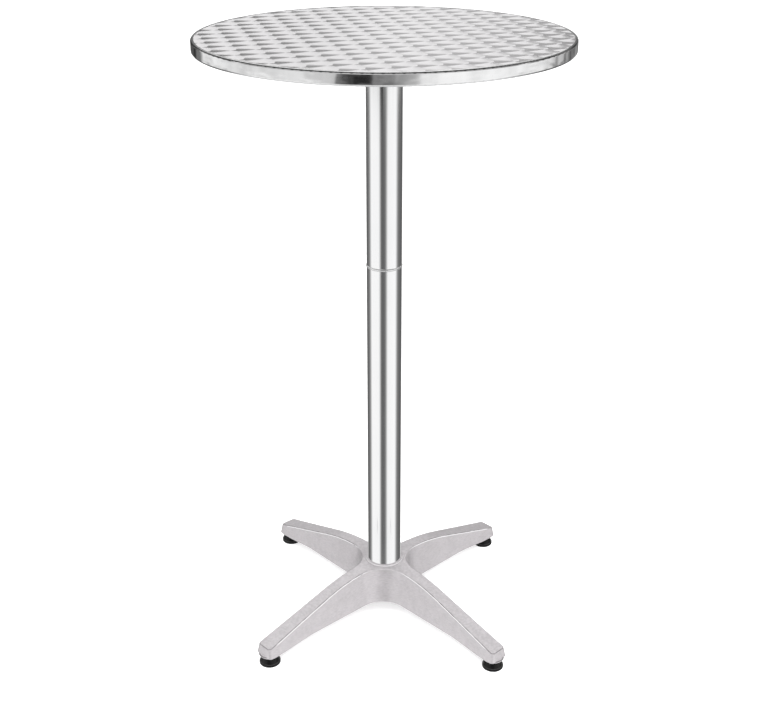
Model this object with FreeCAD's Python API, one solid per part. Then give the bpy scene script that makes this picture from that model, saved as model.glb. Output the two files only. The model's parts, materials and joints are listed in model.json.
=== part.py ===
import FreeCAD, Part
import os
from math import atan2, cos, degrees, hypot, radians, sin, sqrt, tan

# Round bar table: swirled metal top on a screwed two-section pole and a four-leg cast base.
# Millimetres, +Z up. The origin is on the floor, on the pole's axis, and the front is -Y.

# Whole table
table_height = 1050.0
top_diameter = 600.0
top_thickness = 20.0

# Table top
rim_sheet = 0.8
rim_round = 3.0
rim_lip = 5.0
rim_lip_round = 0.3
rim_seam = 0.4
skin_sheet = 0.75
skin_step = 0.15
skin_skirt = 9.0
backing_sheet = 0.8
backing_inset = 0.5

# Bracket under the top
bracket_height = 11.3
bracket_boss_diameter = 60.0
bracket_span = 220.0
bracket_arm_width = 34.0
bracket_arm_thickness = 4.0
bracket_edge_round = 1.0

# Wood screws of the bracket
screw_diameter = 4.2
screw_head_diameter = 8.6
screw_head_height = 2.6
screw_grip = 13.0
screw_tip_length = 5.0
screw_radii = (62.0, 98.0)

# Pole
pole_diameter = 60.0
pole_wall = 2.0
pole_edge_round = 0.8
upper_section_length = 350.0

# Plugs in the ends of the pole's tubes
ring_thickness = 3.0
ring_proud = 0.7
ring_round = 1.2
plug_depth = 25.0
plug_wall = 4.0
plug_boss_wall = 5.5
plug_web = 5.0

# Threaded studs of the pole's joints
stud_diameter = 20.0
stud_reach = 20.0
stud_chamfer = 1.5
stud_head_diameter = 30.0
stud_head_height = 6.0

# Base casting
hub_height = 91.0
hub_flat_radius = 53.0
crest_run = 46.4
leg_root_width = 29.2
leg_tip_width = 12.75
crotch_radius = 55.0
wall_draft = 7.0
casting_wall = 4.0
skirt_clearance = 26.0
toe_height = 40.9
toe_overhang = 6.5
toe_flare = 4.2
toe_clearance = 20.0
toe_ramp_start = 79.0
toe_ramp_stop = 16.0
leg_corner_round = 7.0
leg_edge_round = 2.6
leg_rib_thickness = 4.0
leg_rib_clearance = 44.0
hub_wall = 8.0
socket_floor_height = 70.0
socket_floor_thickness = 10.0
collar_width = 5.0
collar_height = 3.0
collar_round = 1.8

# Bolt and washers that hold the pole in the base
bolt_diameter = 10.0
bolt_engagement = 20.0
bolt_head_flats = 17.0
bolt_head_height = 6.4
flat_washer_diameter = 30.0
flat_washer_thickness = 2.5
spring_washer_diameter = 18.0
spring_washer_thickness = 2.6
spring_washer_split = 2.0

# Levelling feet
foot_circle_radius = 274.0
pad_height = 18.0
pad_diameter = 36.6
pad_flange_height = 5.0
pad_edge_round = 1.6
pad_neck_base_diameter = 32.4
pad_neck_top_diameter = 29.0
pad_sole_round = 0.8
foot_boss_diameter = 24.0
foot_flange_diameter = 38.0
foot_flange_top_diameter = 35.0
foot_flange_height = 3.5
foot_flange_round = 1.4
foot_stud_diameter = 8.0
foot_stud_seat = 5.0
foot_stud_grip = 15.0
foot_stud_chamfer = 0.8

# Clearances, each on the radius
thread_gap = 0.1
press_gap = 0.05
socket_gap = 0.15
sheet_gap = 0.3
hole_gap = 0.4
end_gap = 0.5

# Share of a bend's size at which its inner control points make a near circle
round_share = 0.5523

# Distance under which two places are taken as the same
same_place = 1e-4

# Heights that follow from the sizes above
top_underside = table_height - top_thickness
bracket_seat = top_underside + rim_sheet
skin_margin = table_height - rim_sheet
core_top = skin_margin + skin_step - skin_sheet
column_top = bracket_seat - bracket_height
column_joint = column_top - upper_section_length
top_stud_seat = bracket_seat - stud_head_height - end_gap
column_stud_seat = column_joint + plug_depth - stud_head_height - end_gap
collar_top = hub_height + collar_height
socket_underside = socket_floor_height - socket_floor_thickness
flat_washer_low = socket_underside - flat_washer_thickness
spring_washer_low = flat_washer_low - spring_washer_thickness

# Radii that follow from the sizes above
top_radius = top_diameter / 2
rim_mouth = top_radius - rim_lip
skin_radius = top_radius - rim_sheet - sheet_gap
core_radius = skin_radius - skin_sheet - sheet_gap
pole_radius = pole_diameter / 2
plug_radius = pole_radius - pole_wall - press_gap
socket_radius = pole_radius + socket_gap
hub_radius = socket_radius + hub_wall
collar_radius = socket_radius + collar_width
casting_reach = foot_circle_radius + foot_flange_diameter
leg_reach = foot_circle_radius + toe_overhang

# Places round the pole, in degrees from +X. The legs stand midway between the bracket's arms.
bracket_angles = (0, 90, 180, 270)
leg_places = ("back_right", "back_left", "front_left", "front_right")
leg_angles = {place: angle + 45 for place, angle in zip(leg_places, bracket_angles)}


def point(x, y, z=0.0):
    return FreeCAD.Vector(x, y, z)


def export(node, shape):
    shape.exportStep("parts/" + node + ".step")


def disc(radius, low, high):
    return Part.makeCylinder(radius, high - low, point(0, 0, low))


def turned(*corners):
    """Solid of revolution about the pole's axis, through corners given as (radius, height)."""
    points = [point(radius, 0, height) for radius, height in corners]
    wire = Part.makePolygon(points + points[:1])
    return Part.Face(wire).revolve(point(0, 0), point(0, 0, 1), 360)


def section(*corners):
    """Half section through corners given as (radius, height, size of the bend there)."""
    points = [point(radius, 0, height) for radius, height, size in corners]
    starts = []
    stops = []
    for index, corner in enumerate(points):
        size = corners[index][2]
        back = (points[index - 1] - corner).normalize()
        onward = (points[(index + 1) % len(points)] - corner).normalize()
        starts.append(corner + back * size)
        stops.append(corner + onward * size)
    edges = []
    for index, corner in enumerate(points):
        start = starts[index]
        stop = stops[index]
        edges.append(Part.makeLine(stops[index - 1], start))
        if corners[index][2] > 0:
            bend = Part.BezierCurve()
            inner = [start + (corner - start) * round_share, stop + (corner - stop) * round_share]
            bend.setPoles([start] + inner + [stop])
            edges.append(bend.toShape())
    return Part.Face(Part.Wire(edges))


def round_rings(shape, size, *rings):
    """Rounds the circular edges about the pole's axis that lie at each (radius, height)."""
    chosen = []
    for edge in shape.Edges:
        if not isinstance(edge.Curve, Part.Circle):
            continue
        centre = edge.Curve.Center
        for radius, height in rings:
            near = hypot(edge.Curve.Radius - radius, centre.z - height) < same_place
            if near and hypot(centre.x, centre.y) < same_place:
                chosen.append(edge)
    return shape.makeFillet(size, chosen)


def turn(shape, angle):
    copy = shape.copy()
    copy.rotate(point(0, 0), point(0, 0, 1), angle)
    return copy


def at_foot(shape, angle):
    """Moves a shape from the pole's axis to the foot of the leg at this angle."""
    copy = shape.copy()
    copy.translate(point(foot_circle_radius, 0))
    return turn(copy, angle)


# Table top

def rim_band():
    """Rim band, C-shaped in section with lips above and below, and a fine seam at the back."""
    low = top_underside
    high = table_height
    inside = top_radius - rim_sheet
    inner_round = rim_round - rim_sheet
    profile = section(
        (rim_mouth, low, rim_lip_round),
        (top_radius, low, rim_round),
        (top_radius, high, rim_round),
        (rim_mouth, high, rim_lip_round),
        (rim_mouth, high - rim_sheet, 0),
        (inside, high - rim_sheet, inner_round),
        (inside, low + rim_sheet, inner_round),
        (rim_mouth, low + rim_sheet, 0),
    )
    seam = degrees(rim_seam / top_radius)
    profile.rotate(point(0, 0), point(0, 0, 1), 90 + seam / 2)
    return profile.revolve(point(0, 0), point(0, 0, 1), 360 - seam)


def skin_pan():
    """Sheet over the core, turned down inside the rim, with its margin pressed lower under the lip."""
    face = skin_margin + skin_step
    low = skin_margin - skin_skirt
    inside = skin_radius - skin_sheet
    bend = rim_round - rim_sheet - sheet_gap
    profile = section(
        (0, face, 0),
        (rim_mouth - sheet_gap, face, 0),
        (rim_mouth - sheet_gap, skin_margin, 0),
        (skin_radius, skin_margin, bend),
        (skin_radius, low, 0),
        (inside, low, 0),
        (inside, core_top, bend - skin_sheet),
        (0, core_top, 0),
    )
    return profile.revolve(point(0, 0), point(0, 0, 1), 360)


def core_disc():
    low = top_underside + rim_sheet + backing_sheet
    edge_round = rim_round - rim_sheet - skin_sheet
    core = disc(core_radius, low, core_top)
    core = round_rings(core, edge_round, (core_radius, low), (core_radius, core_top))
    holes = screw_pattern(disc(screw_diameter / 2 + press_gap, low, bracket_seat + screw_grip + end_gap))
    return core.cut(holes)


def backing_disc():
    low = top_underside + rim_sheet
    high = low + backing_sheet
    sheet = disc(top_radius - rim_round - backing_inset, low, high)
    return sheet.cut(screw_pattern(disc(screw_diameter / 2 + hole_gap, low, high)))


# Bracket under the top

def screw_pattern(shape):
    """Copies of a shape at every screw of the four bracket arms."""
    copies = []
    for angle in bracket_angles:
        for radius in screw_radii:
            copy = shape.copy()
            copy.translate(point(radius, 0))
            copies.append(turn(copy, angle))
    return Part.makeCompound(copies)


def bracket_screw():
    low = bracket_seat - bracket_arm_thickness
    head = disc(screw_head_diameter / 2, low - screw_head_height, low)
    head = round_rings(head, screw_head_height / 2, (screw_head_diameter / 2, low - screw_head_height))
    radius = screw_diameter / 2
    high = bracket_seat + screw_grip
    shank = turned((0, low), (radius, low), (radius, high - screw_tip_length), (0, high))
    return head.fuse(shank)


def bracket_arm():
    """One bar across the middle with rounded ends."""
    low = bracket_seat - bracket_arm_thickness
    straight = bracket_span - bracket_arm_width
    bar = Part.makeBox(straight, bracket_arm_width, bracket_arm_thickness)
    bar.translate(point(-straight / 2, -bracket_arm_width / 2, low))
    for side in (-1, 1):
        end = disc(bracket_arm_width / 2, low, bracket_seat)
        end.translate(point(side * straight / 2, 0))
        bar = bar.fuse(end)
    return bar.removeSplitter()


def top_bracket():
    arm_low = bracket_seat - bracket_arm_thickness
    radius = bracket_boss_diameter / 2
    arms = bracket_arm().fuse(turn(bracket_arm(), 90)).removeSplitter()
    under = [edge for edge in arms.Edges if edge.BoundBox.ZMax < bracket_seat - bracket_arm_thickness / 2]
    arms = arms.makeFillet(bracket_edge_round, under)
    boss = round_rings(disc(radius, column_top, bracket_seat), bracket_edge_round, (radius, column_top))
    body = arms.fuse(boss)
    body = body.cut(screw_pattern(disc(screw_diameter / 2 + hole_gap, arm_low, bracket_seat)))
    body = body.cut(disc(stud_head_diameter / 2 + thread_gap, top_stud_seat, bracket_seat))
    return body.cut(disc(stud_diameter / 2 + thread_gap, column_top, bracket_seat))


# Pole

def joint_stud(seat, head_low):
    """Stud with a round pressed-in head, reaching below the seat of its joint."""
    radius = stud_diameter / 2
    tip = seat - stud_reach
    shank = turned(
        (0, tip),
        (radius - stud_chamfer, tip),
        (radius, tip + stud_chamfer),
        (radius, head_low),
        (0, head_low),
    )
    return shank.fuse(disc(stud_head_diameter / 2, head_low, head_low + stud_head_height))


def tube(low, high):
    outer = disc(pole_radius, low, high)
    outer = round_rings(outer, pole_edge_round, (pole_radius, low), (pole_radius, high))
    return outer.cut(disc(pole_radius - pole_wall, low, high))


def webbed_plug(low, high, pocket_low, pocket_high, boss_radius):
    """Plug with a ring-shaped pocket round a middle boss, crossed by four webs."""
    pocket = disc(plug_radius - plug_wall, pocket_low, pocket_high)
    pocket = pocket.cut(disc(boss_radius, pocket_low, pocket_high))
    length = 2 * plug_radius
    web = Part.makeBox(length, plug_web, high - low, point(-length / 2, -plug_web / 2, low))
    return disc(plug_radius, low, high).cut(pocket.cut(web).cut(turn(web, 90)))


def head_plug(seat):
    """Tapped plug at the top of a tube. Its flange shows as a ring at the joint."""
    flange_low = seat - ring_thickness
    radius = pole_radius + ring_proud
    flange = disc(radius, flange_low, seat)
    flange = round_rings(flange, ring_round, (radius, flange_low), (radius, seat))
    low = seat - plug_depth
    bore = stud_diameter / 2 + thread_gap
    body = webbed_plug(low, flange_low, low, flange_low - plug_wall, bore + plug_boss_wall)
    return body.fuse(flange).cut(disc(bore, low, seat))


def upper_foot_plug():
    """Plug at the bottom of the upper tube, with the seat for the stud's head."""
    high = column_joint + plug_depth
    body = disc(plug_radius, column_joint, high)
    body = body.cut(disc(stud_head_diameter / 2 + thread_gap, column_stud_seat, high))
    return body.cut(disc(stud_diameter / 2 + thread_gap, column_joint, high))


def lower_foot_plug():
    """Tapped plug at the bottom of the lower tube."""
    low = socket_floor_height
    high = low + plug_depth
    boss_radius = bolt_diameter / 2 + plug_boss_wall
    body = webbed_plug(low, high, low + plug_wall, high, boss_radius)
    return body.cut(disc(bolt_diameter / 2 + thread_gap, low, high))


# Base casting

def leg_frame(along, across, angle, height):
    """Point given along and across the leg at this angle."""
    c = cos(radians(angle))
    s = sin(radians(angle))
    return point(along * c - across * s, along * s + across * c, height)


def star_outline(inset, height):
    """Outline of the four legs at one height, its walls drafted outwards going down."""
    grow = (hub_height - height) * tan(radians(wall_draft)) - inset
    flare = toe_flare * (hub_height - height) / (hub_height - pad_height)
    slope = ((leg_root_width - leg_tip_width) / 2 - flare) / leg_reach
    slant = sqrt(1 + slope**2)
    half = leg_root_width / 2 + grow * slant
    end = leg_reach + grow
    end_half = half - slope * end
    arc = crotch_radius - grow
    centre = sqrt(2) * (arc * slant + half) / (1 + slope)
    root_along = centre / sqrt(2) - arc * slope / slant
    root_half = centre / sqrt(2) - arc / slant
    edges = []
    for angle in sorted(leg_angles.values()):
        root_low = leg_frame(root_along, -root_half, angle, height)
        end_low = leg_frame(end, -end_half, angle, height)
        end_high = leg_frame(end, end_half, angle, height)
        root_high = leg_frame(root_along, root_half, angle, height)
        middle = leg_frame(centre - arc, 0, angle + 45, height)
        next_root = leg_frame(root_along, -root_half, angle + 90, height)
        edges.append(Part.makeLine(root_low, end_low))
        edges.append(Part.makeLine(end_low, end_high))
        edges.append(Part.makeLine(end_high, root_high))
        edges.append(Part.Arc(root_high, middle, next_root).toShape())
    return Part.Wire(edges)


def star(inset):
    """Drafted solid of the four legs, from the feet to the top of the hub."""
    outlines = [star_outline(inset, pad_height), star_outline(inset, collar_top)]
    return Part.makeLoft(outlines, True, True)


def crown(drop):
    """Solid of revolution under the legs' top face: flat hub, convex crest and straight slope."""
    top = hub_height - drop
    meeting = hub_flat_radius + crest_run
    slope = atan2(hub_height - toe_height, foot_circle_radius - meeting)
    crest_radius = crest_run / tan(slope / 2)
    crest_middle = point(
        hub_flat_radius + crest_radius * sin(slope / 2), 0, top - crest_radius * (1 - cos(slope / 2))
    )
    crest_end = point(meeting + crest_run * cos(slope), 0, top - crest_run * sin(slope))
    rim_height = crest_end.z - (casting_reach - crest_end.x) * tan(slope)
    axis_low = point(0, 0)
    axis_high = point(0, 0, top)
    flat_end = point(hub_flat_radius, 0, top)
    rim_high = point(casting_reach, 0, rim_height)
    rim_low = point(casting_reach, 0)
    edges = [
        Part.makeLine(axis_low, axis_high),
        Part.makeLine(axis_high, flat_end),
        Part.Arc(flat_end, crest_middle, crest_end).toShape(),
        Part.makeLine(crest_end, rim_high),
        Part.makeLine(rim_high, rim_low),
        Part.makeLine(rim_low, axis_low),
    ]
    return Part.Face(Part.Wire(edges)).revolve(point(0, 0), point(0, 0, 1), 360)


def under_skirt():
    """Space below the lower edge of the legs, which drops to the toes."""
    start = foot_circle_radius - toe_ramp_start
    stop = foot_circle_radius - toe_ramp_stop
    return turned(
        (0, 0),
        (0, skirt_clearance),
        (start, skirt_clearance),
        (stop, toe_clearance),
        (casting_reach, toe_clearance),
        (casting_reach, 0),
    )


def is_level_ring(edge):
    """Whether an edge is part of a circle about the pole's axis."""
    if not isinstance(edge.Curve, Part.Circle):
        return False
    return hypot(edge.Curve.Center.x, edge.Curve.Center.y) < same_place


def is_tip_corner(edge):
    """Whether an edge runs down a corner of a leg's end face."""
    distances = [vertex.Point.x**2 + vertex.Point.y**2 for vertex in edge.Vertexes]
    return edge.BoundBox.ZLength > leg_corner_round and min(distances) > foot_circle_radius**2


def leg_body():
    """Outer body of the casting with its tip corners and upper edges rounded."""
    body = star(0).common(crown(0))
    body = body.makeFillet(leg_corner_round, [edge for edge in body.Edges if is_tip_corner(edge)])
    upper = []
    for edge in body.Edges:
        if edge.BoundBox.ZMin > toe_clearance and not is_level_ring(edge):
            upper.append(edge)
    return body.makeFillet(leg_edge_round, upper)


def leg_rib():
    """Web under the top face, from the hub to the foot boss of one leg."""
    start = hub_radius - leg_rib_thickness
    corner = point(start, -leg_rib_thickness / 2, leg_rib_clearance)
    height = hub_height - leg_rib_clearance
    return Part.makeBox(foot_circle_radius - start, leg_rib_thickness, height, corner)


def casting_hollow():
    """Space inside the legs, open below, round the hub, the ribs and the foot bosses."""
    hollow = star(casting_wall).common(crown(casting_wall))
    hollow = hollow.cut(disc(hub_radius, socket_underside, hub_height))
    boss = disc(foot_boss_diameter / 2, pad_height, hub_height)
    for angle in leg_angles.values():
        hollow = hollow.cut(turn(leg_rib(), angle)).cut(at_foot(boss, angle))
    return hollow


def foot_flange():
    """Round flange at the toe of a leg, on which the levelling foot seats."""
    radius = foot_flange_diameter / 2
    flange = turned(
        (0, pad_height),
        (radius, pad_height),
        (radius, toe_clearance),
        (foot_flange_top_diameter / 2, pad_height + foot_flange_height),
        (0, pad_height + foot_flange_height),
    )
    return round_rings(flange, foot_flange_round, (radius, pad_height))


def base_casting():
    casting = leg_body().cut(under_skirt()).cut(casting_hollow())
    collar = disc(collar_radius, hub_height - casting_wall, collar_top)
    casting = casting.fuse(round_rings(collar, collar_round, (collar_radius, collar_top)))
    casting = casting.cut(disc(socket_radius, socket_floor_height, collar_top))
    casting = casting.cut(disc(bolt_diameter / 2 + hole_gap, socket_underside, socket_floor_height))
    stud_hole = disc(
        foot_stud_diameter / 2 + thread_gap, pad_height, pad_height + foot_stud_grip + end_gap
    )
    for angle in leg_angles.values():
        casting = casting.fuse(at_foot(foot_flange(), angle)).cut(at_foot(stud_hole, angle))
    return casting.removeSplitter()


# Bolt and washers under the base

def base_bolt():
    """Hexagon bolt through the socket floor into the lower tube's plug."""
    head_low = spring_washer_low - bolt_head_height
    corner = bolt_head_flats / 2 / cos(radians(30))
    corners = [leg_frame(corner, 0, 60 * side, head_low) for side in range(7)]
    head = Part.Face(Part.makePolygon(corners)).extrude(point(0, 0, bolt_head_height))
    bevel = (corner - bolt_head_flats / 2) * tan(radians(30))
    dome = turned(
        (0, head_low),
        (bolt_head_flats / 2, head_low),
        (corner, head_low + bevel),
        (corner, spring_washer_low),
        (0, spring_washer_low),
    )
    shank = disc(bolt_diameter / 2, spring_washer_low, socket_floor_height + bolt_engagement)
    return head.common(dome).fuse(shank)


def washer(diameter, low, high):
    return disc(diameter / 2, low, high).cut(disc(bolt_diameter / 2 + hole_gap, low, high))


def spring_washer():
    ring = washer(spring_washer_diameter, spring_washer_low, flat_washer_low)
    split = Part.makeBox(spring_washer_diameter, spring_washer_split, spring_washer_thickness)
    split.translate(point(0, -spring_washer_split / 2, spring_washer_low))
    return ring.cut(split)


# Levelling feet

def foot_stud():
    radius = foot_stud_diameter / 2
    high = pad_height + foot_stud_grip
    return turned(
        (0, foot_stud_seat),
        (radius, foot_stud_seat),
        (radius, high - foot_stud_chamfer),
        (radius - foot_stud_chamfer, high),
        (0, high),
    )


def foot_pad():
    radius = pad_diameter / 2
    pad = turned(
        (0, 0),
        (radius, 0),
        (radius, pad_flange_height),
        (pad_neck_base_diameter / 2, pad_flange_height),
        (pad_neck_top_diameter / 2, pad_height),
        (0, pad_height),
    )
    pad = round_rings(pad, pad_edge_round, (radius, pad_flange_height))
    pad = round_rings(pad, pad_sole_round, (radius, 0))
    return pad.cut(disc(foot_stud_diameter / 2 + thread_gap, foot_stud_seat, pad_height))


os.makedirs("parts", exist_ok=True)
export("top_rim", rim_band())
export("top_skin", skin_pan())
export("top_core", core_disc())
export("top_backing", backing_disc())
export("top_bracket", top_bracket())
export("bracket_screws", screw_pattern(bracket_screw()))
export("top_stud", joint_stud(column_top, top_stud_seat))
export("upper_tube", tube(column_joint, column_top - ring_thickness))
export("upper_tube_head_plug", head_plug(column_top))
export("upper_tube_foot_plug", upper_foot_plug())
export("column_stud", joint_stud(column_joint, column_stud_seat))
export("lower_tube", tube(socket_floor_height, column_joint - ring_thickness))
export("lower_tube_head_plug", head_plug(column_joint))
export("lower_tube_foot_plug", lower_foot_plug())
export("base_casting", base_casting())
export("base_bolt", base_bolt())
export("base_flat_washer", washer(flat_washer_diameter, flat_washer_low, socket_underside))
export("base_spring_washer", spring_washer())
for place, angle in leg_angles.items():
    export("foot_stud_" + place, at_foot(foot_stud(), angle))
    export("foot_pad_" + place, at_foot(foot_pad(), angle))
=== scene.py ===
import json
from math import atan2, ceil, cos, pi, radians, sin

import bpy
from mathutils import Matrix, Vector


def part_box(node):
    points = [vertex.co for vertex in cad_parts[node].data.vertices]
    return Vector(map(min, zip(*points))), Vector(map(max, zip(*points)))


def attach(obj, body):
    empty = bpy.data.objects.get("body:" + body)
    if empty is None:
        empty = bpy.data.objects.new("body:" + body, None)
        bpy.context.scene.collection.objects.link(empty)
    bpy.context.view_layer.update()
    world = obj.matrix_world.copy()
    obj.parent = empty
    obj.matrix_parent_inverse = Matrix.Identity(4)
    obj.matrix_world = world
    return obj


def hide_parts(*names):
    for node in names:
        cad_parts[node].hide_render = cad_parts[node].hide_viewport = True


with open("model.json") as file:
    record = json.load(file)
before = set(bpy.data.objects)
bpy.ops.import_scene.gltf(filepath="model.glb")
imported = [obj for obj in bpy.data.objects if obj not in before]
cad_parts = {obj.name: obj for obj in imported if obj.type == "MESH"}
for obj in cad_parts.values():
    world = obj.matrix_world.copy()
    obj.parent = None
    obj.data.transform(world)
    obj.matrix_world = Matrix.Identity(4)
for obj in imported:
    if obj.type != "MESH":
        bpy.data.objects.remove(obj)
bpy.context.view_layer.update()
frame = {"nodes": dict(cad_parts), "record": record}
scene = bpy.context.scene

# Camera, fitted to the photo: pixels of the 768 x 722 frame, metres and degrees
image_width = 768
image_height = 722
focal_pixels = 1228.6
optical_centre = (384.32, 320.0)
camera_distance = 1.9384
camera_height = 1.3766
camera_tilt = radians(22.663)
camera_heading = radians(1.644)
sensor_width = 36.0

# Lamps: metres, watts and the sun's strength
lamp_target = (0, 0, 0.6)
key_position = (-1.4, -1.2, 3.0)
key_size = 1.6
key_power = 30.0
fill_position = (1.8, -0.6, 2.6)
fill_size = 1.4
fill_power = 35.0
sky_direction = (-0.15, 0.8, -1.0)
sky_strength = 1.75
sky_spread = radians(70.0)

# Floor: half its side in metres, and the strength of its own glow
floor_half = 150.0
floor_glow = 0.45

# Studio walls, up to a little above level: degrees from the front to the right, brightness.
# The rim mirrors their upper part and the pole their lower part.
walls_at_rim = (
    (-180, 0.3), (-174, 0.65), (-167, 0.4), (-163, 0.15), (-160, 0.02), (-154, 0.03),
    (-149, 0.09), (-134, 0.12), (-129, 0.82), (-105, 0.95), (-97, 0.77), (-45, 0.75),
    (-26.4, 0.54), (-25.6, 0.1), (-12, 0.03), (-5.6, 0.02), (-4.6, 0.2), (7, 0.22),
    (8.5, 0.36), (20.8, 0.5), (21.6, 0.8), (40, 0.95), (100, 0.95), (118, 0.7),
    (120.5, 0.3), (123, 0.64), (129, 0.6), (132, 0.12), (135, 0.44), (141, 0.15),
    (151, 0.22), (180, 0.36),
)
walls_at_pole = (
    (-180, 0.2), (-170, 0.7), (-158, 0.7), (-150, 0.08), (-122, 0.16), (-107, 0.24),
    (-98, 0.55), (-88, 0.96), (-33, 0.95), (-22.5, 0.36), (-17, 0.14), (-9, 0.12),
    (3, 0.14), (10, 0.24), (16.5, 0.52), (23.5, 0.93), (77, 0.98), (87, 0.62),
    (95, 0.28), (108, 0.16), (142, 0.1), (150, 0.08), (158, 0.7), (170, 0.7), (180, 0.2),
)

# Line between the two parts of the walls: height at the sides, rise to the back, and blur
wall_line_height = -0.199
wall_line_rise = 0.0165
wall_line_blur = 0.004

# Changes to the walls' brightness: blotches and least level at the rim, gain at the pole
rim_blotch = 0.08
rim_least = 0.02
pole_gain = 1.08

# Parts of the studio, from where each begins to where it is full, along one axis of the direction
# of sight: x for the sides, y for the hood's front and z for the others
wall_top = (0.07, 0.11)
floor_bounce = (-0.565, -0.62)
hood_front = (0.0, -0.12)
hood_top = (0.9, 0.72)
hood_height = (0.22, 0.38)
panel_height = (0.74, 0.86)
panel_side = (0.22, 0.42)
room_side = (-0.2, 0.2)

# Brightness of those parts, at both ends of what is given above
bounce_levels = (0.0, 0.85)
hood_levels = (0.3, 0.66)
panel_levels = (0.82, 0.42)
room_levels = (1.09, 0.93)

# Dark things round the studio above its walls: share of their spacing, sine of their height
skyline_spacing = radians(45.0)
skyline_start = radians(2.0)
skyline = (
    (0.0, 0.1), (0.1, 0.12), (0.17, 0.6), (0.34, 0.6),
    (0.6, 0.2), (0.84, 0.2), (0.93, 0.1), (1.0, 0.1),
)
skyline_blur = (-0.02, 0.08)
skyline_levels = (0.16, 1.0)

# Swirled sheet: spots of circular brushing on a square lattice, in metres and in lattice steps
swirl_pitch = 0.037
swirl_turn = radians(16.8)
swirl_start = (0.1875, 0.0, 0.0)
swirl_reach = 0.78

# Direction across the brushing in which the sheet is painted darkest, from +X, and the painted
# dark fan of reflection about it, from its edge to its middle as the squared cosine of the angle
# between
swirl_dark = radians(14.0)
swirl_fan = (0.76, 1.0)

# Radii at which the fine lines of the pole and of the rim are laid out, in metres
pole_radius = 0.03
rim_radius = 0.3

# Zones of the casting: metres from the pole's axis where each begins and where it is full
collar_zone = (0.041, 0.038)
leg_zone = (0.045, 0.08)
toe_zone = (0.264, 0.274)

# Zones of rounded edges: how far the surface faces up where each begins and where it is full.
# A band has a lower and an upper limit of this kind.
# Rim: painted shade on its lower bend, and a painted dark reflection line on its upper bend
rim_lower_bend = (-0.15, -0.4)
rim_upper_band = ((0.3, 0.42), (0.94, 0.88))
# Casting: painted highlights along the lower parts of rounded edges
painted_highlight_band = ((0.17, 0.26), (0.66, 0.56))
# Casting: painted dark reflection lines along the upper parts of rounded edges
painted_dark_edge_band = ((0.56, 0.66), (0.93, 0.88))
# Pads: top-facing surfaces lightened by dust that is partly a painted highlight
dust_and_highlight_facing = (0.3, 0.8)

# Threads: steps of the mesh per turn along the stud and around it, flat share of crest and root
thread_steps = 10
thread_sides = 48
thread_flat = 0.12

# Edges of the modelled fasteners that are sharper than this are shaded as corners
sharp_angle = radians(40.0)

# Places of the feet, as in the names of their nodes and bodies
foot_places = ("back_right", "back_left", "front_left", "front_right")

# Studs of the pole's joints and of the feet, in metres
joint_stud = {
    "diameter": 0.020,
    "pitch": 0.004,
    "depth": 0.0018,
    "head_diameter": 0.030,
    "head_height": 0.006,
}
foot_stud = {
    "diameter": 0.008,
    "pitch": 0.00125,
    "depth": 0.00075,
    "head_diameter": 0.0,
    "head_height": 0.0,
}
stud_head_chamfer = 0.0006

# Wood screws of the bracket, in metres
screw_radii = (0.062, 0.098)
screw_diameter = 0.0042
screw_tip_length = 0.005
screw_tip_radius = 0.0002
screw_head_diameter = 0.0086
screw_head_height = 0.0026
screw_dome = 0.0011
screw_recess_width = 0.0011
screw_recess_length = 0.0046
screw_recess_depth = 0.0014

# Mesh of a screw's head: the recess floor's share of its mouth, rings from the recess to the edge
# as shares of that way, and directions between two arms of the cross, in radians
screw_recess_floor = 0.55
screw_head_rings = (0.0, 0.02, 0.35, 0.7, 0.9, 1.0)
screw_between_arms = (0.3, 0.45, 0.6, pi / 4, 0.97, 1.12, 1.27)


# Node helpers

def new_material(name):
    """Material with only a principled shader and an output, its node tree and the shader."""
    material = bpy.data.materials.new(name)
    material.use_nodes = True
    tree = material.node_tree
    tree.nodes.clear()
    output = tree.nodes.new("ShaderNodeOutputMaterial")
    shader = tree.nodes.new("ShaderNodeBsdfPrincipled")
    tree.links.new(shader.outputs["BSDF"], output.inputs["Surface"])
    return material, tree, shader


def feed(tree, socket, value):
    """Links an output to a socket, or sets the socket to a constant."""
    if isinstance(value, bpy.types.NodeSocket):
        tree.links.new(value, socket)
    else:
        socket.default_value = value


def dress(tree, shader, colour, roughness, metallic=0.0):
    feed(tree, shader.inputs["Base Color"], colour)
    feed(tree, shader.inputs["Roughness"], roughness)
    shader.inputs["Metallic"].default_value = metallic


def grey(level):
    return (level, level, level, 1)


def calc(tree, operation, *values):
    node = tree.nodes.new("ShaderNodeMath")
    node.operation = operation
    for socket, value in zip(node.inputs, values):
        feed(tree, socket, value)
    return node.outputs[0]


def times(tree, first, second):
    return calc(tree, "MULTIPLY", first, second)


def times_add(tree, first, second, third):
    """First times second, plus third."""
    return calc(tree, "MULTIPLY_ADD", first, second, third)


def vector_calc(tree, operation, *values):
    node = tree.nodes.new("ShaderNodeVectorMath")
    node.operation = operation
    for socket, value in zip(node.inputs, values):
        feed(tree, socket, value)
    scalar = operation in ("LENGTH", "DISTANCE", "DOT_PRODUCT")
    return node.outputs["Value" if scalar else "Vector"]


def span(tree, value, low, high, start=0.0, stop=1.0):
    """Smooth step of a value from low to high, mapped to start and stop."""
    node = tree.nodes.new("ShaderNodeMapRange")
    node.interpolation_type = "SMOOTHSTEP"
    feed(tree, node.inputs["Value"], value)
    feed(tree, node.inputs["From Min"], low)
    feed(tree, node.inputs["From Max"], high)
    feed(tree, node.inputs["To Min"], start)
    feed(tree, node.inputs["To Max"], stop)
    return node.outputs["Result"]


def band(tree, value, lower, upper):
    """1 between two limits and 0 outside, with a smooth step at each."""
    return times(tree, span(tree, value, *lower), span(tree, value, *upper))


def blend_colour(tree, share, first, second):
    node = tree.nodes.new("ShaderNodeMix")
    node.data_type = "RGBA"
    feed(tree, node.inputs[0], share)
    feed(tree, node.inputs[6], first)
    feed(tree, node.inputs[7], second)
    return node.outputs[2]


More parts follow.
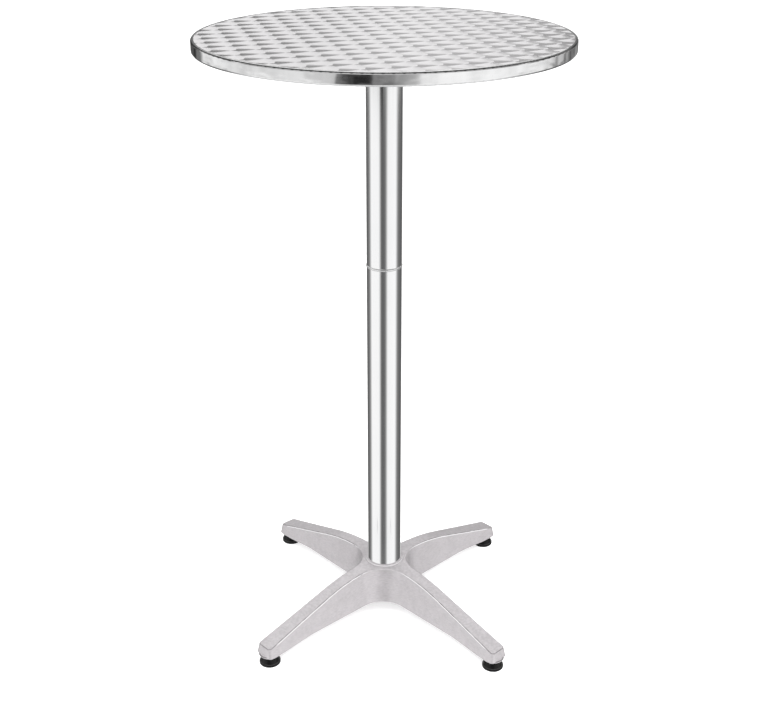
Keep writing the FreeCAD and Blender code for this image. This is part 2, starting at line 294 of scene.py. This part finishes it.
def mix(tree, share, first, second):
    node = tree.nodes.new("ShaderNodeMix")
    feed(tree, node.inputs[0], share)
    feed(tree, node.inputs[2], first)
    feed(tree, node.inputs[3], second)
    return node.outputs[0]


def choose(tree, test, first, second):
    """Second vector where the test is 1, else the first."""
    node = tree.nodes.new("ShaderNodeMix")
    node.data_type = "VECTOR"
    feed(tree, node.inputs[0], test)
    feed(tree, node.inputs[4], first)
    feed(tree, node.inputs[5], second)
    return node.outputs[1]


def place(tree):
    """Point on the piece in metres, in the piece's own frame."""
    return tree.nodes.new("ShaderNodeTexCoord").outputs["Object"]


def split(tree, vector):
    node = tree.nodes.new("ShaderNodeSeparateXYZ")
    feed(tree, node.inputs[0], vector)
    return node.outputs


def join(tree, x, y, z):
    node = tree.nodes.new("ShaderNodeCombineXYZ")
    for socket, value in zip(node.inputs, (x, y, z)):
        feed(tree, socket, value)
    return node.outputs[0]


def turn_about_z(tree, vector, angle):
    node = tree.nodes.new("ShaderNodeVectorRotate")
    node.rotation_type = "Z_AXIS"
    node.inputs["Angle"].default_value = angle
    feed(tree, node.inputs["Vector"], vector)
    return node.outputs["Vector"]


def noise(tree, vector, scale, detail=4.0, roughness=0.55):
    node = tree.nodes.new("ShaderNodeTexNoise")
    feed(tree, node.inputs["Vector"], vector)
    node.inputs["Scale"].default_value = scale
    node.inputs["Detail"].default_value = detail
    node.inputs["Roughness"].default_value = roughness
    return node.outputs["Fac"]


def ramp(tree, value, stops):
    """Brightness that follows a value from 0 to 1 through (place, brightness) stops."""
    node = tree.nodes.new("ShaderNodeValToRGB")
    feed(tree, node.inputs[0], value)
    elements = node.color_ramp.elements
    while len(elements) < len(stops):
        elements.new(0.5)
    for element, (spot, level) in zip(elements, stops):
        element.position = spot
        element.color = grey(level)
    return node.outputs["Color"]


def bump(tree, shader, height, strength, distance):
    node = tree.nodes.new("ShaderNodeBump")
    node.inputs["Strength"].default_value = strength
    node.inputs["Distance"].default_value = distance
    feed(tree, node.inputs["Height"], height)
    tree.links.new(node.outputs["Normal"], shader.inputs["Normal"])


def facing_up(tree):
    """How far the surface faces up: 1 for level, 0 for upright, less for an underside."""
    return split(tree, tree.nodes.new("ShaderNodeNewGeometry").outputs["Normal"])[2]


def axis_distance(tree):
    """Distance from the pole's axis."""
    level = vector_calc(tree, "MULTIPLY", place(tree), (1.0, 1.0, 0.0))
    return vector_calc(tree, "LENGTH", level)


def around_axis(tree, radius):
    """Point unrolled round the pole's axis: metres along the circle at this radius, and height."""
    x, y, z = split(tree, place(tree))
    return times(tree, calc(tree, "ARCTAN2", y, x), radius), z


# Materials

def polished_tube():
    """Bright tube, polished along its length."""
    material, tree, shader = new_material("polished_tube")
    along, z = around_axis(tree, pole_radius)
    drawn = join(tree, along, times(tree, z, 0.004), 0.0)
    lines = noise(tree, drawn, scale=2600.0, detail=3.0)
    haze = noise(tree, place(tree), scale=9.0, detail=3.0)
    bright = blend_colour(tree, haze, (0.86, 0.865, 0.87, 1), grey(0.93))
    rough = times_add(tree, haze, 0.04, times_add(tree, lines, 0.05, 0.07))
    dress(tree, shader, bright, rough, metallic=1.0)
    bump(tree, shader, lines, strength=0.05, distance=0.0001)
    return material


def rim_metal():
    """Polished band: fine lines round the edge, a slow wave in its sheet, painted shade on its
    lower bend and a painted dark reflection line on its upper bend.
    """
    material, tree, shader = new_material("rim_metal")
    along, z = around_axis(tree, rim_radius)
    drawn = join(tree, times(tree, along, 0.01), z, axis_distance(tree))
    lines = noise(tree, drawn, scale=3000.0, detail=3.0)
    wave = noise(tree, join(tree, along, times(tree, z, 2.0), 0.0), scale=16.0, detail=2.0)
    upward = facing_up(tree)
    # Painted shade where the rim faces down, and a painted dark reflection line along its upper
    # bend
    painted_shade_below = span(tree, upward, *rim_lower_bend)
    painted_reflection_line = band(tree, upward, *rim_upper_band)
    bright = blend_colour(tree, wave, (0.84, 0.84, 0.845, 1), grey(0.93))
    bright = blend_colour(tree, painted_shade_below, bright, (0.66, 0.66, 0.665, 1))
    bright = blend_colour(tree, painted_reflection_line, bright, (0.09, 0.088, 0.09, 1))
    dress(tree, shader, bright, times_add(tree, lines, 0.06, 0.04), metallic=1.0)
    bump(tree, shader, times_add(tree, lines, 0.004, wave), strength=0.35, distance=0.001)
    return material


def swirl_spot(tree):
    """Point within the spot that lies on top there, and the spot's place, in lattice steps."""
    turned = turn_about_z(tree, place(tree), -swirl_turn)
    lattice = vector_calc(tree, "MULTIPLY", turned, (1 / swirl_pitch, 1 / swirl_pitch, 0.0))
    lattice = vector_calc(tree, "SUBTRACT", lattice, swirl_start)
    cell = vector_calc(tree, "FLOOR", lattice)
    inside = vector_calc(tree, "SUBTRACT", lattice, cell)
    corner = join(tree, 0.0, 0.0, 0.0)
    for candidate in ((0.0, 1.0, 0.0), (1.0, 0.0, 0.0), (1.0, 1.0, 0.0)):
        distance = vector_calc(tree, "DISTANCE", inside, candidate)
        near = calc(tree, "LESS_THAN", distance, swirl_reach)
        corner = choose(tree, near, corner, candidate)
    return vector_calc(tree, "SUBTRACT", inside, corner), vector_calc(tree, "ADD", cell, corner)


def swirl_metal():
    """Stainless sheet brushed in overlapping round spots, with a painted dark fan of reflection in
    each spot.
    """
    material, tree, shader = new_material("swirl_metal")
    local, spot = swirl_spot(tree)
    radial = vector_calc(tree, "NORMALIZE", turn_about_z(tree, local, swirl_turn))
    outward = tree.nodes.new("ShaderNodeVectorTransform")
    outward.vector_type = "VECTOR"
    outward.convert_from = "OBJECT"
    outward.convert_to = "WORLD"
    feed(tree, outward.inputs[0], radial)
    random = tree.nodes.new("ShaderNodeTexWhiteNoise")
    feed(tree, random.inputs["Vector"], spot)
    shuffle = times(tree, random.outputs["Value"], 40.0)
    distance = vector_calc(tree, "LENGTH", local)
    rings = noise(tree, join(tree, distance, shuffle, 0.0), scale=60.0)
    # Painted reflection: each spot is darker across the brushing in one fixed direction, with the
    # brushing rings laid over it
    across = vector_calc(tree, "DOT_PRODUCT", radial, (cos(swirl_dark), sin(swirl_dark), 0.0))
    painted_fan = span(tree, times(tree, across, across), *swirl_fan)
    sheen = blend_colour(tree, painted_fan, (0.98, 0.965, 0.975, 1), (0.35, 0.336, 0.346, 1))
    finish_with_painted_light = blend_colour(tree, times(tree, rings, 0.3), sheen, grey(0.6))
    dress(tree, shader, finish_with_painted_light, times_add(tree, rings, 0.08, 0.26), metallic=1.0)
    shader.inputs["Anisotropic"].default_value = 0.95
    feed(tree, shader.inputs["Tangent"], outward.outputs[0])
    bump(tree, shader, rings, strength=0.03, distance=0.0002)
    return material


def cast_metal(name, tint, scale):
    """Satin casting: grain, level tumbling marks, painted highlights low on its rounded edges and
    painted dark reflection lines high on them.
    """
    material, tree, shader = new_material(name)
    point = place(tree)
    grain = noise(tree, point, scale=900.0 * scale, detail=3.0)
    mottle = noise(tree, point, scale=60.0 * scale, detail=5.0)
    flattened = vector_calc(tree, "MULTIPLY", point, (1.0, 1.0, 5.0))
    marks = noise(tree, flattened, scale=170.0 * scale, roughness=0.6)
    light = tuple(1.08 * channel for channel in tint) + (1,)
    dark = tuple(0.86 * channel for channel in tint) + (1,)
    tumbled = span(tree, times_add(tree, marks, 0.7, times(tree, mottle, 0.3)), 0.32, 0.68)
    out = axis_distance(tree)
    legs = span(tree, out, *leg_zone)
    collar = span(tree, out, *collar_zone)
    toes = span(tree, out, *toe_zone)
    upward = facing_up(tree)
    # Painted highlights on the lower parts of rounded edges, on the collar and along the legs but
    # not at the toes
    painted_highlight_zone = calc(tree, "SUBTRACT", calc(tree, "ADD", legs, collar), toes)
    painted_highlight = times(tree, band(tree, upward, *painted_highlight_band), painted_highlight_zone)
    # Painted dark reflection lines on the upper parts of the legs' rounded edges, broken up by
    # patches and stronger at the toes
    patches = span(tree, mottle, 0.4, 0.58, start=0.2, stop=0.85)
    dark_edge_share = calc(tree, "MAXIMUM", patches, times(tree, toes, 0.7))
    painted_dark_edge = times(tree, band(tree, upward, *painted_dark_edge_band), times(tree, legs, dark_edge_share))
    finish_with_painted_light = blend_colour(tree, tumbled, dark, light)
    finish_with_painted_light = blend_colour(tree, painted_highlight, finish_with_painted_light, (0.95, 0.94, 0.95, 1))
    finish_with_painted_light = blend_colour(tree, painted_dark_edge, finish_with_painted_light, (0.16, 0.15, 0.155, 1))
    dress(tree, shader, finish_with_painted_light, times_add(tree, mottle, 0.14, 0.36), metallic=0.5)
    bump(tree, shader, times_add(tree, grain, 0.3, marks), strength=0.1, distance=0.0002)
    return material


def zinc_steel():
    """Zinc-plated steel with a patchy passivation."""
    material, tree, shader = new_material("zinc_steel")
    point = place(tree)
    patch = noise(tree, point, scale=260.0, detail=5.0)
    plated = blend_colour(tree, patch, (0.5, 0.52, 0.55, 1), (0.72, 0.72, 0.7, 1))
    dress(tree, shader, plated, times_add(tree, patch, 0.2, 0.2), metallic=1.0)
    pitting = noise(tree, point, scale=2400.0, detail=2.0)
    bump(tree, shader, pitting, strength=0.1, distance=0.0001)
    return material


def plug_metal():
    """Turned aluminium, with fine lines round the axis."""
    material, tree, shader = new_material("plug_metal")
    along, z = around_axis(tree, pole_radius)
    turned = join(tree, times(tree, along, 0.02), z, axis_distance(tree))
    lines = noise(tree, turned, scale=5000.0, detail=2.0)
    bright = blend_colour(tree, lines, (0.74, 0.74, 0.745, 1), grey(0.9))
    dress(tree, shader, bright, times_add(tree, lines, 0.12, 0.14), metallic=1.0)
    bump(tree, shader, lines, strength=0.15, distance=0.0001)
    return material


def pad_plastic():
    """Glossy black moulded plastic with faint flow marks, and dust on top-facing surfaces that is
    partly a painted highlight.
    """
    material, tree, shader = new_material("pad_plastic")
    point = place(tree)
    flow = noise(tree, point, scale=120.0)
    plastic = blend_colour(tree, flow, grey(0.003), grey(0.009))
    settled = span(tree, flow, 0.3, 0.6, start=0.5, stop=1.0)
    # Lighter grey on top-facing surfaces: dust, and partly a painted highlight on the flange
    dust_and_highlight = times(tree, span(tree, facing_up(tree), *dust_and_highlight_facing), settled)
    dusty_and_highlit = blend_colour(tree, dust_and_highlight, plastic, grey(0.03))
    dress(tree, shader, dusty_and_highlit, times_add(tree, flow, 0.2, 0.16))
    shader.inputs["Specular IOR Level"].default_value = 0.14
    texture = noise(tree, point, scale=1500.0, detail=2.0)
    bump(tree, shader, texture, strength=0.06, distance=0.0001)
    return material


def fibreboard():
    """Brown board of pressed fibres."""
    material, tree, shader = new_material("fibreboard")
    fibre = noise(tree, place(tree), scale=700.0, detail=6.0, roughness=0.7)
    brown = blend_colour(tree, fibre, (0.24, 0.15, 0.085, 1), (0.44, 0.31, 0.2, 1))
    dress(tree, shader, brown, times_add(tree, fibre, 0.15, 0.75))
    bump(tree, shader, fibre, strength=0.3, distance=0.0003)
    return material


def backing_sheet():
    """Dull liner sheet with a fine paper grain."""
    material, tree, shader = new_material("backing_sheet")
    point = place(tree)
    grain = noise(tree, point, scale=1800.0, detail=3.0)
    cloud = noise(tree, point, scale=22.0, detail=5.0)
    dull = blend_colour(tree, cloud, (0.05, 0.05, 0.052, 1), (0.085, 0.085, 0.087, 1))
    dress(tree, shader, dull, times_add(tree, grain, 0.2, 0.5))
    bump(tree, shader, grain, strength=0.2, distance=0.0002)
    return material


slot_materials = {
    "rim_metal": rim_metal(),
    "swirl_metal": swirl_metal(),
    "fibreboard": fibreboard(),
    "backing_sheet": backing_sheet(),
    "die_cast_metal": cast_metal("die_cast_metal", (0.7, 0.7, 0.71), 1.3),
    "plug_metal": plug_metal(),
    "zinc_steel": zinc_steel(),
    "polished_tube": polished_tube(),
    "cast_metal": cast_metal("cast_metal", (0.542, 0.518, 0.532), 1.0),
    "pad_plastic": pad_plastic(),
}
for subpart in frame["record"]["subparts"]:
    node = frame["nodes"][subpart["node"]]
    node.data.materials.clear()
    node.data.materials.append(slot_materials[subpart["material_slot"]])


# Threaded studs and screws, which stand for the plain ones

def add_object(name, data):
    thing = bpy.data.objects.new(name, data)
    scene.collection.objects.link(thing)
    return thing


def shell(rings):
    """Points and faces of a closed skin through rings of points, capped at both ends."""
    sides = len(rings[0])
    points = [point for ring in rings for point in ring]
    faces = [tuple(reversed(range(sides)))]
    for row in range(len(rings) - 1):
        first = row * sides
        for side in range(sides):
            beside = (side + 1) % sides
            above = first + sides
            faces.append((first + side, first + beside, above + beside, above + side))
    faces.append(tuple(range(len(points) - sides, len(points))))
    return points, faces


def add_piece(name, shells, slot, body, node):
    """Piece made of closed skins that rides on a body and is shown instead of a plain node."""
    points = []
    faces = []
    for shell_points, shell_faces in shells:
        start = len(points)
        points += shell_points
        faces += [tuple(start + index for index in face) for face in shell_faces]
    mesh = bpy.data.meshes.new(name)
    mesh.from_pydata(points, [], faces)
    mesh.polygons.foreach_set("use_smooth", [True] * len(mesh.polygons))
    mesh.set_sharp_from_angle(angle=sharp_angle)
    mesh.materials.append(slot_materials[slot])
    piece = add_object(name, mesh)
    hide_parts(node)
    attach(piece, body)


def thread_cut(turns, depth):
    """Depth of the thread below its crest, for a place counted in turns of the thread."""
    slope = abs(2 * (turns % 1) - 1)
    return depth * min(1.0, max(0.0, (slope - thread_flat) / (1 - 2 * thread_flat)))


def threaded_stud(node, body, diameter, pitch, depth, head_diameter, head_height):
    """Right-handed stud on the axis of a plain one: chamfered ends, or a round head at the top."""
    low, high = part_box(node)
    centre_x = (low[0] + high[0]) / 2
    centre_y = (low[1] + high[1]) / 2
    angles = [2 * pi * side / thread_sides for side in range(thread_sides)]
    shank_top = high[2] - head_height
    rows = ceil((shank_top - low[2]) / pitch * thread_steps)

    def spot(radius, angle, z):
        return (centre_x + radius * cos(angle), centre_y + radius * sin(angle), z)

    rings = []
    for row in range(rows + 1):
        z = low[2] + (shank_top - low[2]) * row / rows
        room = z - low[2] if head_height else min(z - low[2], shank_top - z)
        ring = []
        for side, angle in enumerate(angles):
            cut = thread_cut(z / pitch - side / thread_sides, depth)
            radius = diameter / 2 - max(cut, depth - room)
            ring.append(spot(radius, angle, z))
        rings.append(ring)
    if head_height:
        half = head_diameter / 2
        profile = (
            (half, shank_top),
            (half, high[2] - stud_head_chamfer),
            (half - stud_head_chamfer, high[2]),
        )
        for radius, z in profile:
            rings.append([spot(radius, angle, z) for angle in angles])
    add_piece(node + "_thread", [shell(rings)], "zinc_steel", body, node)


def recess_edge(angle):
    """Distance from a screw's axis to the edge of its cross recess in one direction."""
    long_side = max(abs(cos(angle)), abs(sin(angle)))
    short_side = min(abs(cos(angle)), abs(sin(angle)))
    end = screw_recess_length / 2 / long_side
    side = screw_recess_width / 2 / max(short_side, 1e-6)
    return min(end, side)


def cross_screw(x, y, low, high):
    """Skin of a wood screw with its domed head and cross recess facing down."""
    corner = atan2(screw_recess_width, screw_recess_length)
    parts = (-corner, -corner / 2, 0.0, corner / 2, corner) + screw_between_arms
    turns = [quarter * pi / 2 + part for quarter in range(4) for part in parts]
    half = screw_head_diameter / 2
    shank = screw_diameter / 2
    seat = low + screw_head_height

    def ring(radii, heights):
        return [(x + r * cos(a), y + r * sin(a), z) for a, r, z in zip(turns, radii, heights)]

    def face(radius):
        return low + screw_dome * (radius / half) ** 2

    edge = [recess_edge(angle) for angle in turns]
    floor = [screw_recess_floor * r for r in edge]
    rings = [ring(floor, [low + screw_recess_depth] * len(turns))]
    for share in screw_head_rings:
        radii = [r + share * (half - r) for r in edge]
        rings.append(ring(radii, [face(r) for r in radii]))
    profile = (
        (half, seat),
        (shank, seat),
        (shank, high - screw_tip_length),
        (screw_tip_radius, high),
    )
    for radius, z in profile:
        rings.append(ring([radius] * len(turns), [z] * len(turns)))
    return shell(rings)


def add_bracket_screws():
    low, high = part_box("bracket_screws")
    screws = []
    for quarter in range(4):
        angle = quarter * pi / 2
        for out in screw_radii:
            screws.append(cross_screw(out * cos(angle), out * sin(angle), low[2], high[2]))
    add_piece("bracket_screw_heads", screws, "zinc_steel", "table_top", "bracket_screws")


threaded_stud("column_stud", "column_screw", **joint_stud)
threaded_stud("top_stud", "top_screw", **joint_stud)
for foot_place in foot_places:
    threaded_stud("foot_stud_" + foot_place, "foot_screw_" + foot_place, **foot_stud)
add_bracket_screws()


# Floor, light and camera

def add_floor():
    """Pale ground that takes the table's shadow and is not mirrored in the metal."""
    mesh = bpy.data.meshes.new("floor")
    corners = [
        (-floor_half, -floor_half, 0),
        (floor_half, -floor_half, 0),
        (floor_half, floor_half, 0),
        (-floor_half, floor_half, 0),
    ]
    mesh.from_pydata(corners, [], [(0, 1, 2, 3)])
    floor = add_object("floor", mesh)
    material, tree, shader = new_material("floor")
    shade = noise(tree, place(tree), scale=30.0, detail=3.0)
    dress(tree, shader, blend_colour(tree, shade, grey(0.86), grey(0.88)), 0.9)
    shader.inputs["Specular IOR Level"].default_value = 0.0
    shader.inputs["Emission Color"].default_value = grey(1)
    shader.inputs["Emission Strength"].default_value = floor_glow
    mesh.materials.append(material)
    floor.visible_glossy = False


def wall_ramp(tree, share, walls):
    return ramp(tree, share, [(angle / 360 + 0.5, level) for angle, level in walls])


def lower_studio(tree, around):
    """Brightness of the walls and, near the ground, of the light that the floor throws back."""
    x, y, z = split(tree, around)
    front = calc(tree, "ARCTAN2", x, times(tree, y, -1.0))
    share = times_add(tree, front, 0.5 / pi, 0.5)
    stretched = vector_calc(tree, "MULTIPLY", around, (7.0, 7.0, 22.0))
    cloud = noise(tree, stretched, scale=1.0, detail=3.0)
    blotch = span(tree, cloud, 0.35, 0.65, -rim_blotch, rim_blotch)
    at_rim = calc(tree, "ADD", wall_ramp(tree, share, walls_at_rim), blotch)
    at_rim = calc(tree, "MAXIMUM", at_rim, rim_least)
    at_pole = times(tree, wall_ramp(tree, share, walls_at_pole), pole_gain)
    at_pole = calc(tree, "MAXIMUM", at_pole, span(tree, z, *floor_bounce, *bounce_levels))
    line = times_add(tree, y, wall_line_rise, wall_line_height)
    over_line = span(tree, calc(tree, "SUBTRACT", z, line), -wall_line_blur, wall_line_blur)
    return mix(tree, over_line, at_pole, at_rim)


def upper_studio(tree, around):
    """Brightness above the walls: a skyline all round, a hood at the front, a ceiling panel."""
    x, y, z = split(tree, around)
    back = calc(tree, "SUBTRACT", calc(tree, "ARCTAN2", x, y), skyline_start)
    edge = ramp(tree, calc(tree, "FRACT", times(tree, back, 1 / skyline_spacing)), skyline)
    over_edge = calc(tree, "SUBTRACT", z, edge)
    open_sky = span(tree, over_edge, *skyline_blur, *skyline_levels)
    hood = times(tree, span(tree, y, *hood_front), span(tree, z, *hood_top))
    hooded = mix(tree, hood, open_sky, span(tree, z, *hood_height, *hood_levels))
    panel = span(tree, calc(tree, "ABSOLUTE", x), *panel_side, *panel_levels)
    covered = mix(tree, span(tree, z, *panel_height), hooded, panel)
    return times(tree, covered, span(tree, x, *room_side, *room_levels))


def add_world():
    """Studio of bright and dark parts that lights the table, and plain white behind it."""
    world = bpy.data.worlds.new("studio")
    scene.world = world
    world.use_nodes = True
    tree = world.node_tree
    background = tree.nodes["Background"]
    background.inputs["Color"].default_value = grey(1)
    around = tree.nodes.new("ShaderNodeTexCoord").outputs["Generated"]
    over_walls = span(tree, split(tree, around)[2], *wall_top)
    seen = mix(tree, over_walls, lower_studio(tree, around), upper_studio(tree, around))
    path = tree.nodes.new("ShaderNodeLightPath")
    strength = mix(tree, path.outputs["Is Camera Ray"], seen, 1.0)
    tree.links.new(strength, background.inputs["Strength"])


def add_lamp(name, light, towards):
    """Lamp that shines in a direction and is not mirrored in the metal."""
    lamp = add_object(name, light)
    lamp.rotation_euler = towards.to_track_quat("-Z", "Y").to_euler()
    lamp.visible_glossy = False
    return lamp


def add_area(name, position, size, power):
    """Square lamp that points at the table."""
    light = bpy.data.lights.new(name, "AREA")
    light.shape = "RECTANGLE"
    light.size = size
    light.size_y = size
    light.energy = power
    lamp = add_lamp(name, light, Vector(lamp_target) - Vector(position))
    lamp.location = position


def add_sun(name, direction, strength, spread):
    """Broad light for the floor and the dull surfaces."""
    light = bpy.data.lights.new(name, "SUN")
    light.energy = strength
    light.angle = spread
    add_lamp(name, light, Vector(direction))


def add_camera():
    data = bpy.data.cameras.new("camera")
    data.sensor_width = sensor_width
    data.lens = focal_pixels / image_width * sensor_width
    data.shift_x = (image_width / 2 - optical_centre[0]) / image_width
    data.shift_y = (optical_centre[1] - image_height / 2) / image_width
    camera = add_object("camera", data)
    camera.location = (
        camera_distance * sin(camera_heading),
        -camera_distance * cos(camera_heading),
        camera_height,
    )
    camera.rotation_euler = (pi / 2 - camera_tilt, 0, camera_heading)
    scene.camera = camera


# The pole shows the studio only, as in the photo
for name in ["base_casting"] + ["foot_pad_" + foot_place for foot_place in foot_places]:
    frame["nodes"][name].visible_glossy = False
add_floor()
add_world()
add_area("key", key_position, key_size, key_power)
add_area("fill", fill_position, fill_size, fill_power)
add_sun("sky", sky_direction, sky_strength, sky_spread)
add_camera()
scene.view_settings.view_transform = "Standard"
